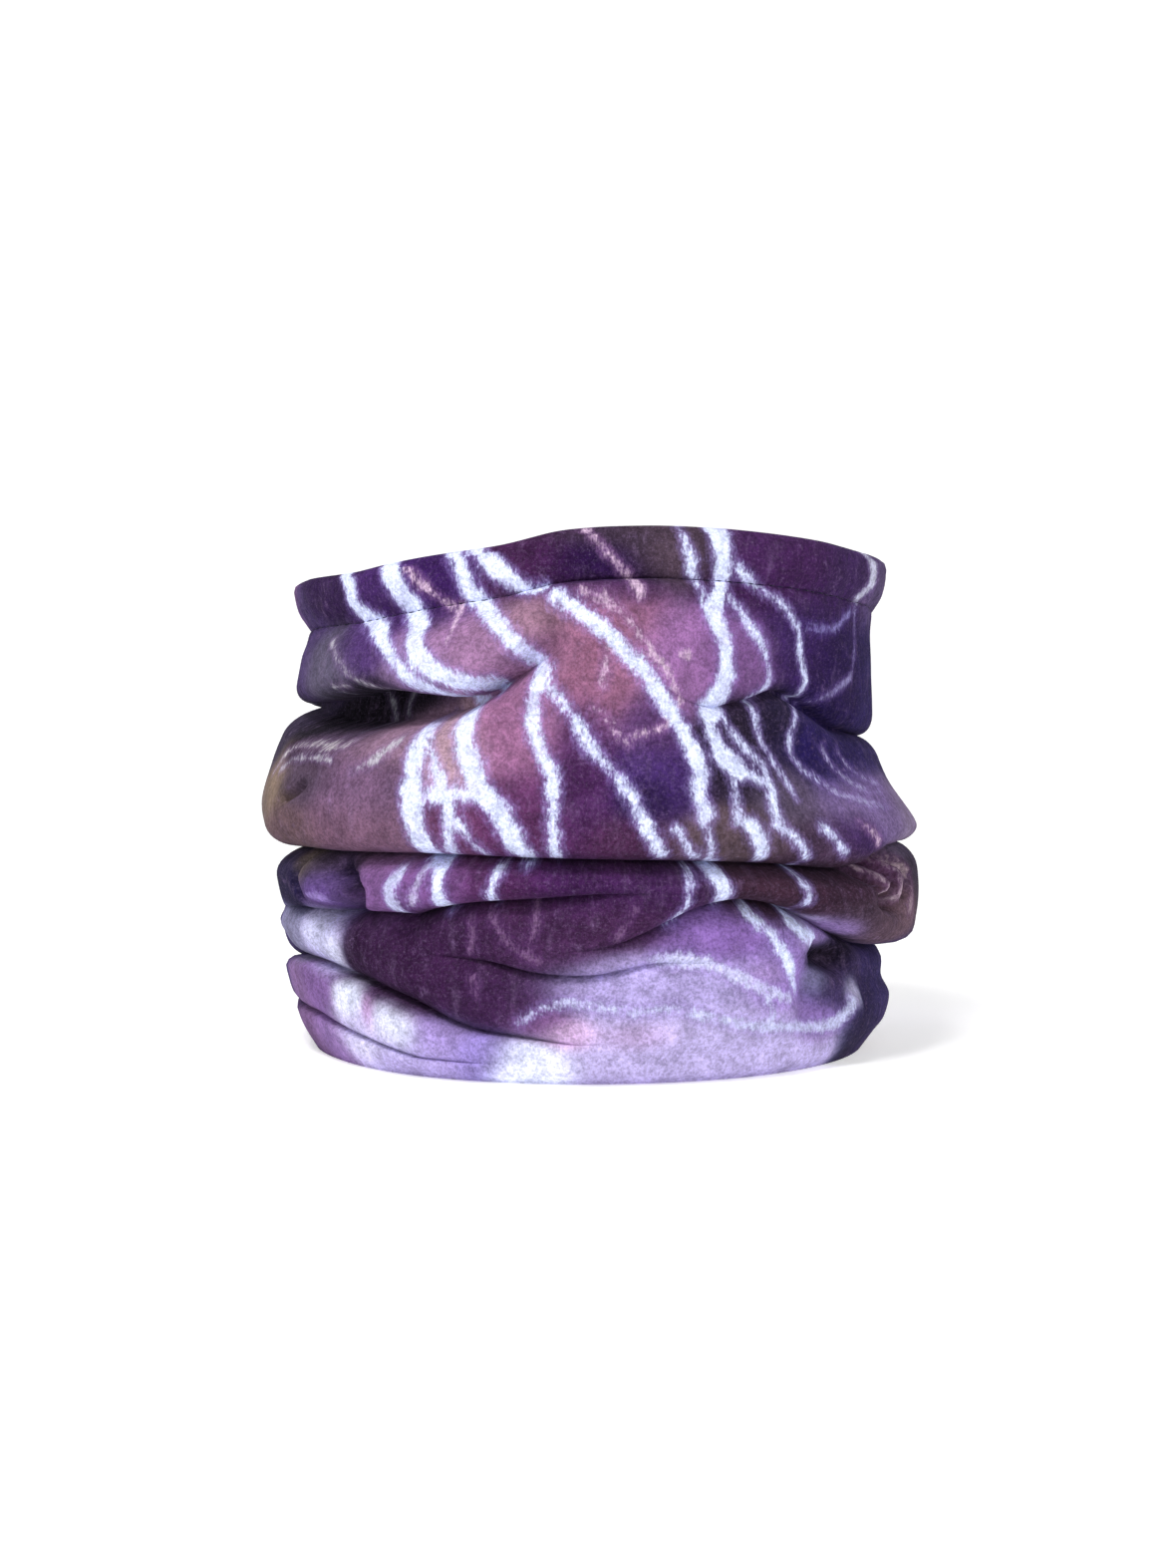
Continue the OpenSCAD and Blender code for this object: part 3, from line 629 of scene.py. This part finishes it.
def paint(print_z):
    """Ground colour, vein colour and distance outside the nearest vein at each printed grid point. A few of
    the colour patches are painted shade in creases, and one stroke among the veins is a painted highlight.
    """
    rng = np.random.default_rng(SEED)
    at = np.broadcast_to(ANGLE, print_z.shape)
    patches = [(a, z, wa, wz, linear(code)) for a, z, wa, wz, code in GROUND_AND_PAINTED_SHADE]
    for k in range(110):
        a = 82 + 196 * rng.random()
        code = HIDDEN_PATCHES[int(rng.integers(len(HIDDEN_PATCHES)))]
        patches.append((a if a < 180 else a - 360, rng.uniform(-30, 150), rng.uniform(6, 13),
                        rng.uniform(5, 11), linear(code)))
    total = np.full(print_z.shape, 1e-5)
    colour = np.zeros(print_z.shape + (3,)) + linear("55305e") * 1e-5
    for a, z, wa, wz, tint in patches:
        away = (at - a + 180) % 360 - 180
        weight = np.exp(-1.3 * ((away / wa) ** 2 + ((print_z - z) / wz) ** 2))
        total += weight
        colour += weight[..., None] * tint
    colour /= total[..., None]
    bright = colour.mean(axis=-1, keepdims=True)
    colour = colour * np.minimum((bright / 0.22) ** 0.5, 1)
    colour *= 1 + np.array([-0.02, 0.11, 0.17]) * np.clip(1 - bright / 0.3, 0, 1)
    edge = np.full(print_z.shape, 9.0)
    tint = np.zeros_like(colour) + np.array(WHITE)
    white = [(start, end, WHITE, path) for start, end, path in WHITE_VEINS]
    for start, end, shade, path in white + TINTED_VEINS_AND_PAINTED_LIGHT + hidden_veins(rng):
        middle = np.mean([p[0] for p in path])
        near = (at - middle + 180) % 360 - 180 + middle
        d, share = distance_to(path, near * MM_PER_DEGREE, print_z)
        outside = d - (start + (end - start) * share) / 2
        closer = outside < edge
        edge = np.where(closer, outside, edge)
        tint = np.where(closer[..., None], shade, tint)
    return colour, tint, edge


def add_colours(mesh, name, values):
    """Stores a colour at each point of a mesh."""
    layer = mesh.color_attributes.new(name, "FLOAT_COLOR", "POINT")
    layer.data.foreach_set("color", np.c_[values, np.ones(len(values))].astype(np.float32).ravel())


def build_cloth():
    """The cloth as one closed object with its print, its rows of points and the main rows' numbers."""
    rows, print_z, marks = build_cloth_grid()
    count = len(rows)
    faces = np.array(ring_faces(count + 1, COLUMNS)) % (count * COLUMNS)
    cloth = mesh_object("printed_fleece_tube", rows.reshape(-1, 3) * MM, faces.tolist())
    mesh = cloth.data
    rest = count - marks["face"]

    def for_all(values, fill):
        """The printed rows' values, with a fill for the rows of the reverse, as one list of points."""
        behind = np.full((rest,) + values.shape[1:], fill)
        return np.concatenate([values, behind]).reshape(-1, *values.shape[2:])

    colour, tint, edge = paint(print_z)
    add_colours(mesh, "ground", for_all(colour, 0.5))
    add_colours(mesh, "vein_tint", for_all(tint, 0.5))
    edges = mesh.attributes.new("vein_edge", "FLOAT", "POINT")
    edges.data.foreach_set("value", for_all(edge, 9.0).astype(np.float32))
    u = np.r_[ANGLE, 180.0] * MM_PER_DEGREE
    corner_u = np.tile(np.stack([u[:-1], u[1:], u[1:], u[:-1]], axis=-1), (count, 1))
    uv = np.stack([corner_u, for_all(print_z, 0.0)[faces]], axis=-1) * MM
    mesh.uv_layers.new(name="print").data.foreach_set("uv", uv.astype(np.float32).ravel())
    mesh.update()
    return cloth, rows, marks


# ---- threads

def tube(path, radius, sides=6):
    """Points and faces of a round closed rod along a path."""
    path = np.array(path, float)
    along = unit(np.gradient(path, axis=0))
    helper = np.array([0.31, 0.77, 0.55])
    side = unit(np.cross(along, helper))
    other = np.cross(along, side)
    turn = 2 * np.pi * np.arange(sides) / sides
    taper = np.ones(len(path))
    taper[[0, -1]] = 0.6
    rings = [p + radius * t * (np.cos(turn)[:, None] * s + np.sin(turn)[:, None] * o)
             for p, s, o, t in zip(path, side, other, taper)]
    last = (len(path) - 1) * sides
    ends = [tuple(range(sides))[::-1], tuple(range(last, last + sides))]
    return np.vstack(rings), ring_faces(len(path), sides) + ends


def join_tubes(name, paths, radius):
    """One object of many short rods, from paths in millimetres."""
    points, faces, done = [], [], 0
    for path in paths:
        p, f = tube(path, radius)
        points.append(p * MM)
        faces += [tuple(i + done for i in face) for face in f]
        done += len(p)
    return mesh_object(name, np.vstack(points), faces)


def run_along(line):
    """Each point's distance along a line."""
    return np.r_[0, np.cumsum(np.linalg.norm(np.diff(line, axis=0), axis=1))]


def points_at(s, run, line):
    """Points of a line at distances s along it."""
    return np.stack([np.interp(s, run, line[:, i]) for i in range(3)], axis=-1)


def ring_stitches(name, line, away, pitch=3.0, length=2.3, radius=0.28):
    """Lockstitches along a ring of points. away points out of the cloth; each stitch's ends sink into it."""
    closed = np.vstack([line, line[:1]])
    outward = np.vstack([away, away[:1]])
    run = run_along(closed)
    count = int(round(run[-1] / pitch))
    paths = []
    for k in range(count):
        s = (k + np.linspace(0, length / pitch, 5)) * run[-1] / count
        lift = np.array([-0.45, 0.05, 0.18, 0.05, -0.45])[:, None]
        paths.append(points_at(s, run, closed) + points_at(s, run, outward) * lift)
    return join_tubes(name, paths, radius)


def seam_threads(rows, marks):
    """Names, paths and radii of the overlocked edge's threads: two needle rows, and two loopers that wrap
    over the raw edge inside the back of the tube."""
    turn = ANGLE % 360
    order = [i for i in np.argsort(turn) if abs(turn[i] - 180) < 6]
    turn = turn[order]
    inner = rows[marks["reverse"]][::-1, order]
    keep = [i for i in range(len(inner)) if 23 < inner[i, :, 2].mean() < 99.5]
    inner = inner[keep[0]:keep[-1] + 1]
    run = run_along(inner[:, len(turn) // 2])
    count = int(run[-1] / 2.6)

    def at(s, degrees, lift):
        column = np.interp(degrees, turn, np.arange(len(turn)))
        low, part = int(column), column % 1
        line = inner[:, low] * (1 - part) + inner[:, low + 1] * part
        inward = np.array([-np.sin(np.radians(degrees)), np.cos(np.radians(degrees)), 0])
        return points_at(s, run, line) + inward * lift

    # Each thread's radius, and its run in a stitch: start, length, first angle, turn, (share, lift) points.
    needle = ((0, -0.4), (0.3, 0.1), (0.6, 0.15), (1, -0.4))
    runs = [("left_needle_thread", 0.2, 0, 2.1, 178.1, 0, needle),
            ("right_needle_thread", 0.2, 0, 2.1, 179.4, 0, needle),
            ("upper_looper_thread", 0.22, 0, 1.3, 178.3, 3.6, ((0, 0.1), (0.35, 0.3), (0.7, 0.3), (1, 0.15))),
            ("lower_looper_thread", 0.22, 1.3, 1.3, 181.9, -2.2, ((0, 0.15), (0.5, 0.3), (1, 0.12)))]
    for name, radius, start, length, first, sweep, points in runs:
        paths = [[at(s + start + f * length, first + f * sweep, lift) for f, lift in points]
                 for s in run[-1] * np.arange(count) / count]
        yield name, paths, radius


# ---- the label

def build_label():
    """A ribbon folded in half: both ends are caught in the hem stitching and the fold hangs free."""
    across, down = 15, 31
    width, drop, thick = 20.0, 31.6, 0.32
    top_z, mid_y = 107.3, 69.8
    centre = [(0.32 + 0.5 * np.sin(np.pi * f) + 0.1 * np.sin(5 * f), top_z - drop * f)
              for f in np.arange(down) / (down - 1)]
    bend = [(0.45 * np.cos(t), top_z - drop - 0.45 * np.sin(t)) for t in np.radians([45, 90, 135])]
    other = [(-0.32 - 0.25 * np.sin(np.pi * f), top_z - drop * (1 - f)) for f in np.arange(down) / (down - 1)]
    line = np.array(centre + bend + other)
    step = unit(np.gradient(line, axis=0))
    side = np.stack([-step[:, 1], step[:, 0]], axis=1)
    points = []
    for (y, z), (ny, nz) in zip(line, side):
        for face_side in (0.5, -0.5):
            for x in np.linspace(-width, width, across) * face_side:
                cup = 0.5 * (2 * x / width) ** 2
                points.append((x, mid_y - 0.3 + y + ny * thick * face_side - cup * 0.4,
                               z + nz * thick * face_side + 0.04 * np.sin(x * 2.1 + z)))
    sides, last = 2 * across, len(points) - 2 * across
    ends = [(j, j + 1, sides - 2 - j, sides - 1 - j) for j in range(across - 1)]
    faces = ring_faces(len(line), sides) + [quad[::-1] for quad in ends]
    faces += [tuple(last + i for i in quad) for quad in ends]
    return mesh_object("folded_care_label", np.array(points) * MM, faces)


# ---- materials

class Shader:
    """Builds one material's nodes."""

    def __init__(self, name):
        self.material = bpy.data.materials.new(name)
        self.material.use_nodes = True
        self.nodes = self.material.node_tree.nodes
        self.links = self.material.node_tree.links
        self.surface = self.nodes["Principled BSDF"]

    def node(self, kind, **settings):
        made = self.nodes.new(kind)
        for key, value in settings.items():
            setattr(made, key, value)
        return made

    def put(self, socket, value):
        if isinstance(value, bpy.types.NodeSocket):
            self.links.new(value, socket)
        else:
            socket.default_value = value

    def math(self, operation, *values):
        made = self.node("ShaderNodeMath", operation=operation)
        for socket, value in zip(made.inputs, values):
            self.put(socket, value)
        return made.outputs[0]

    def noise(self, vector, scale, detail=3.0, roughness=0.55):
        made = self.node("ShaderNodeTexNoise")
        self.put(made.inputs["Vector"], vector)
        made.inputs["Scale"].default_value = scale
        made.inputs["Detail"].default_value = detail
        made.inputs["Roughness"].default_value = roughness
        return made.outputs["Fac"]

    def ramp(self, value, low, high, to_low=0.0, to_high=1.0):
        made = self.node("ShaderNodeMapRange", interpolation_type="SMOOTHSTEP")
        self.put(made.inputs["Value"], value)
        for key, number in (("From Min", low), ("From Max", high), ("To Min", to_low), ("To Max", to_high)):
            made.inputs[key].default_value = number
        return made.outputs["Result"]

    def here(self):
        return self.node("ShaderNodeTexCoord").outputs["Object"]

    def stored(self, name, output="Color"):
        return self.node("ShaderNodeAttribute", attribute_name=name).outputs[output]

    def stretched(self, vector, turn, squash):
        made = self.node("ShaderNodeMapping")
        self.put(made.inputs["Vector"], vector)
        made.inputs["Rotation"].default_value = (0, 0, turn)
        made.inputs["Scale"].default_value = (1, squash, 1)
        return made.outputs["Vector"]

    def times(self, a, b):
        return self.math("MULTIPLY", a, b)

    def plus(self, a, b):
        return self.math("ADD", a, b)

    def spread(self, noise, width):
        return self.times(self.math("SUBTRACT", noise, 0.5), width)

    def grey(self, value):
        made = self.node("ShaderNodeCombineColor")
        for k in range(3):
            self.put(made.inputs[k], value)
        return made.outputs["Color"]

    def mix(self, share, a, b, blend_type="MIX"):
        made = self.node("ShaderNodeMix", data_type="RGBA", blend_type=blend_type)
        self.put(made.inputs[0], share)
        self.put(made.inputs[6], a)
        self.put(made.inputs[7], b)
        return made.outputs[2]

    def bump(self, height, strength, distance):
        made = self.node("ShaderNodeBump")
        self.put(made.inputs["Height"], height)
        made.inputs["Strength"].default_value = strength
        made.inputs["Distance"].default_value = distance
        self.links.new(made.outputs["Normal"], self.surface.inputs["Normal"])

    def finish(self, colour, roughness, sheen=0.0, tint=(1, 1, 1, 1)):
        self.put(self.surface.inputs["Base Color"], colour)
        self.surface.inputs["Roughness"].default_value = roughness
        self.surface.inputs["Specular IOR Level"].default_value = 0.05
        self.surface.inputs["Sheen Weight"].default_value = sheen
        self.surface.inputs["Sheen Roughness"].default_value = 0.55
        self.surface.inputs["Sheen Tint"].default_value = tint
        return self.material


def rgba(code):
    """A colour written as six hex digits, for a shader socket."""
    return (*linear(code), 1.0)


def printed_fleece():
    """Plush pile with the marbled print, which also holds a few marks of painted shade and one painted
    highlight: clouded base colour, frayed pale veins, wisps, specks and grain.
    """
    s = Shader("printed_fleece")
    uv = s.node("ShaderNodeUVMap", uv_map="print").outputs["UV"]
    here = s.here()
    tint = s.stored("vein_tint")
    swell = s.spread(s.noise(uv, 110, 2.0, 0.5), 3.0)
    nap = s.stretched(uv, 0.35, 0.45)
    ragged = s.spread(s.noise(nap, 620, 4.0, 0.75), 3.6)
    fray = s.spread(s.noise(nap, 1800, 2.0), 2.4)
    edge = s.plus(s.plus(s.stored("vein_edge", "Fac"), swell), s.plus(ragged, fray))
    strength = s.ramp(s.noise(uv, 190, 3.0), 0.3, 0.6, 0.72, 1.0)
    core = s.times(s.ramp(edge, -1.15, 0.7, 0.97, 0.0), strength)
    halo = s.ramp(edge, -0.3, 2.2, 0.4, 0.0)
    cloudy = s.ramp(s.noise(uv, 120, 4.0, 0.6), 0.3, 0.7, 0.78, 1.22)
    colour = s.mix(1.0, s.stored("ground"), s.grey(cloudy), "MULTIPLY")
    wisps = s.ramp(s.noise(uv, 210, 5.0, 0.75), 0.56, 0.78, 0.0, 0.3)
    colour = s.mix(wisps, colour, rgba("9a7cae"), "LIGHTEN")
    flow = s.stretched(uv, -0.3, 0.3)
    streaks = s.ramp(s.noise(flow, 300, 4.0, 0.7), 0.5, 0.8, 0.0, 0.13)
    colour = s.mix(streaks, colour, rgba("a387b4"), "LIGHTEN")
    specks = s.ramp(s.noise(uv, 1150, 5.0, 0.9), 0.48, 0.8, 0.0, 0.24)
    colour = s.mix(specks, colour, rgba("ad93bd"), "LIGHTEN")
    colour = s.mix(halo, colour, s.mix(1.0, tint, (0.43, 0.28, 0.54, 1), "MULTIPLY"))
    colour = s.mix(core, colour, tint)
    pile = s.noise(here, 1500, 3.0, 0.7)
    tufts = s.noise(here, 560, 3.0, 0.6)
    grain = s.ramp(s.plus(s.times(pile, 0.6), s.times(tufts, 0.4)), 0.34, 0.66, 0.66, 1.34)
    colour = s.mix(1.0, colour, s.grey(grain), "MULTIPLY")
    s.bump(s.plus(s.times(pile, 0.35), tufts), 0.6, 0.0009)
    return s.finish(colour, 0.95, 0.03, rgba("b8a6d8"))


def reverse_fleece():
    """The plain brushed reverse."""
    s = Shader("fleece_reverse")
    here = s.here()
    pile = s.noise(here, 1900, 2.0, 0.6)
    tufts = s.noise(here, 420, 4.0, 0.65)
    both = s.plus(s.times(pile, 0.5), s.times(tufts, 0.5))
    colour = s.mix(s.ramp(both, 0.35, 0.65), rgba("b9aed0"), rgba("e4def0"))
    s.bump(both, 0.7, 0.0012)
    return s.finish(colour, 0.95, 0.3)


def thread(name, dark, light):
    """Twisted sewing thread."""
    s = Shader(name)
    here = s.here()
    twist = s.noise(here, 2600, 2.0)
    s.bump(twist, 0.5, 0.0002)
    return s.finish(s.mix(s.ramp(twist, 0.35, 0.65), rgba(dark), rgba(light)), 0.6, 0.1)


def ribbon():
    """The label's plain woven ribbon."""
    s = Shader("label_ribbon")
    here = s.here()
    wave = s.node("ShaderNodeTexWave", bands_direction="Z")
    s.put(wave.inputs["Vector"], here)
    wave.inputs["Scale"].default_value = 560
    wave.inputs["Distortion"].default_value = 0.6
    fibre = s.noise(here, 1500, 3.0)
    weave = s.plus(s.times(wave.outputs["Fac"], 0.4), s.times(fibre, 0.6))
    s.bump(weave, 0.4, 0.0001)
    return s.finish(s.mix(s.ramp(weave, 0.2, 0.8), rgba("d9d6cf"), rgba("f3f1ec")), 0.55, 0.1)


# ---- putting it together

def give(piece, materials, slot, *nodes, body="gaiter"):
    """Gives a piece its materials and body, and hides the CAD nodes that it stands for. The slot is not used.
    """
    for material in materials:
        piece.data.materials.append(material)
    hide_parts(*nodes)
    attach(piece, body)


cloth, rows, marks = build_cloth()
give(cloth, [printed_fleece(), reverse_fleece()], "printed_fleece", "shell_fleece")
behind = (np.arange(len(rows)) >= marks["face"] - 1).repeat(COLUMNS)
cloth.data.polygons.foreach_set("material_index", behind.astype(np.int32))

dark_thread = thread("hem_thread", "0e0a1c", "2a2044")
all_normals = grid_normals(rows)
for name, mark in (("top_hem_needle", "hem"), ("top_hem_bobbin", "flap_hem"),
                   ("bottom_hem_needle", "tuck_hem"), ("bottom_hem_bobbin", "tuck_hem_back")):
    row = marks[mark]
    stitches = ring_stitches(name + "_stitches", rows[row], all_normals[row])
    give(stitches, [dark_thread], "hem_thread", name + "_thread")
seam_thread = thread("overlock_thread", "3a2a52", "6a5688")
for name, paths, radius in seam_threads(rows, marks):
    give(join_tubes("overlock_" + name, paths, radius), [seam_thread], "overlock_thread", "back_seam_" + name)
give(build_label(), [ribbon()], "label_ribbon", "care_label", body="label")


# ---- light and camera

def area_light(name, place, aim, size, power):
    """A round soft lamp that faces a point."""
    data = bpy.data.lights.new(name, "AREA")
    data.shape = "DISK"
    data.size = size
    data.energy = power
    lamp = add(name, data)
    lamp.location = place
    lamp.rotation_euler = (Vector(aim) - Vector(place)).to_track_quat("-Z", "Y").to_euler()


def sweep():
    """A white floor that curves up all round into a backdrop."""
    sides, bend = 64, 0.8
    curve = [(1.4 + bend * np.sin(t), bend - bend * np.cos(t)) for t in np.radians(np.arange(9, 91, 9))]
    profile = [(0.7, 0), (1.4, 0)] + curve + [(2.2, 2.4)]
    turn = 2 * np.pi * np.arange(sides) / sides
    points = [(r * np.sin(t), r * np.cos(t), z) for r, z in profile for t in turn] + [(0, 0, 0)]
    faces = ring_faces(len(profile), sides)
    faces += [(j, len(points) - 1, (j + 1) % sides) for j in range(sides)]
    paper = mesh_object("white_sweep", points, faces)
    s = Shader("white_paper")
    s.surface.inputs["Emission Color"].default_value = (1, 1, 1, 1)
    s.surface.inputs["Emission Strength"].default_value = 0.42
    paper.data.materials.append(s.finish((0.85, 0.85, 0.85, 1), 0.9))


sweep()
bpy.context.scene.view_settings.view_transform = "Standard"
world = bpy.data.worlds.new("white_room")
world.use_nodes = True
world.node_tree.nodes["Background"].inputs["Color"].default_value = (1, 1, 1, 1)
world.node_tree.nodes["Background"].inputs["Strength"].default_value = 0.12
bpy.context.scene.world = world
area_light("overhead_softbox", (-0.2, -0.5, 0.8), (0, 0, 0.06), 0.25, 5.2)
area_light("front_softbox", (0.3, -0.95, 0.25), (0, 0, 0.06), 0.4, 0.8)

camera_data = bpy.data.cameras.new("camera")
camera_data.lens = 41.52
camera = add("camera", camera_data)
camera.location = (0, -0.4917, 0.069)
camera.rotation_euler = (np.pi / 2, 0, 0)
bpy.context.scene.camera = camera
